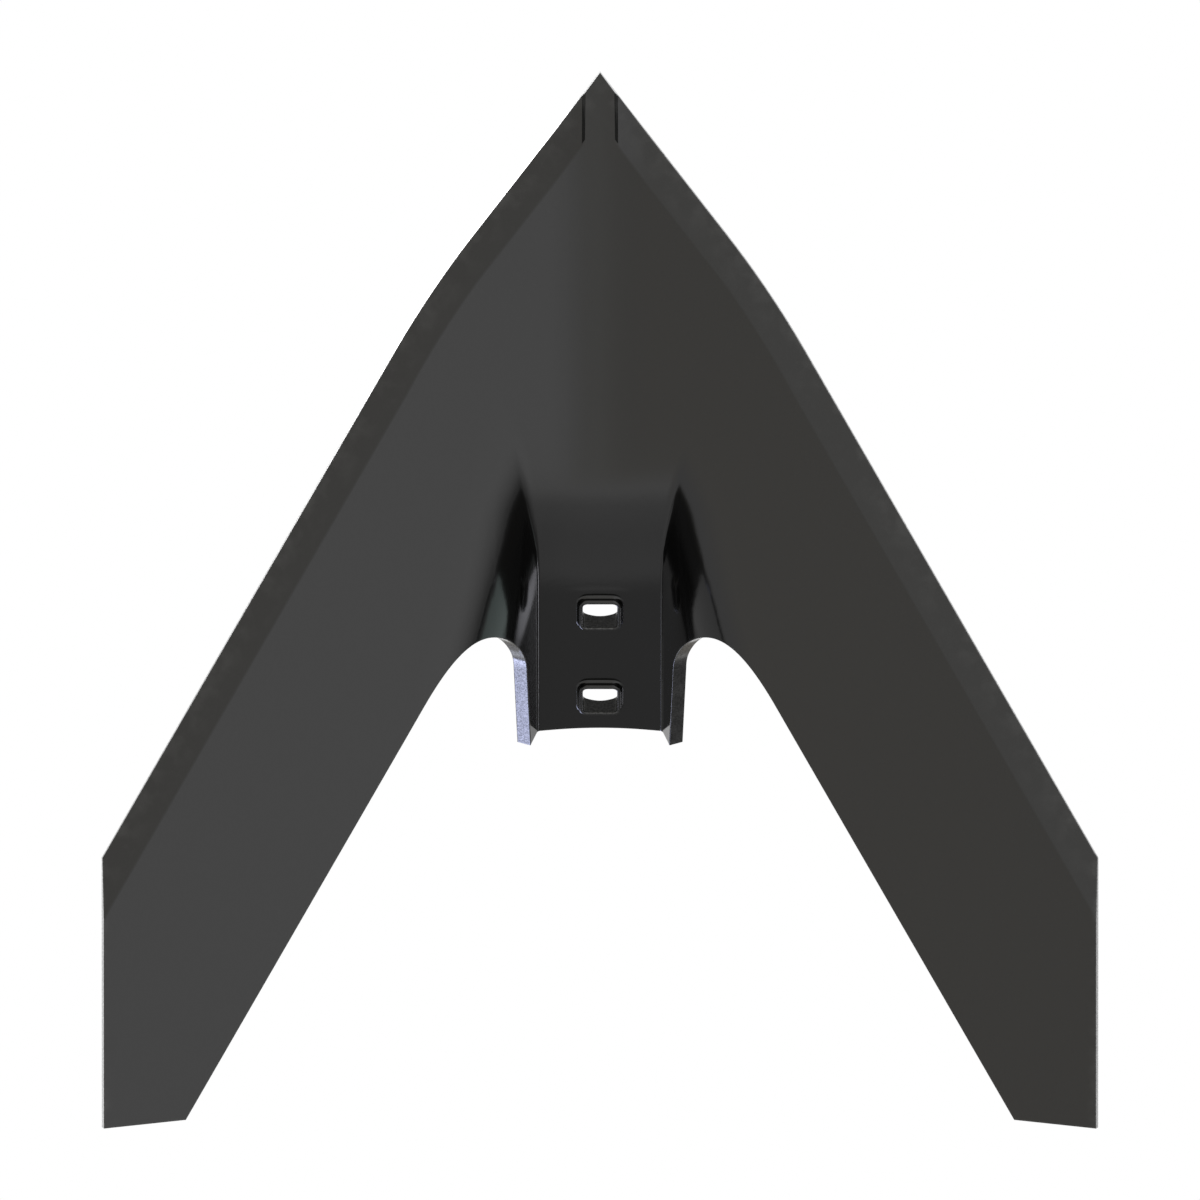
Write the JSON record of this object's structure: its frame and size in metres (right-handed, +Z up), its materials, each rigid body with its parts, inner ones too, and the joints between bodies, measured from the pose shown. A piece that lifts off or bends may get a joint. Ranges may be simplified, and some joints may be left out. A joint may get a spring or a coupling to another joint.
{
  "type": "cultivator sweep",
  "caption": "V-shaped steel sweep with a pointed nose, two lifted wings with bevelled cutting edges and a flanged stem that bolts to a cultivator shank.",
  "frame": {"origin": "on the ground under the middle of the part", "axes": "+Z up, -Y the way the nose points and the tool travels, +X across the wings"},
  "size_m": [0.3556, 0.3772, 0.1113],
  "materials": {
    "black_paint": "gloss black paint"
  },
  "bodies": {
    "root": {"sweep": "black_paint"}
  },
  "joints": []
}
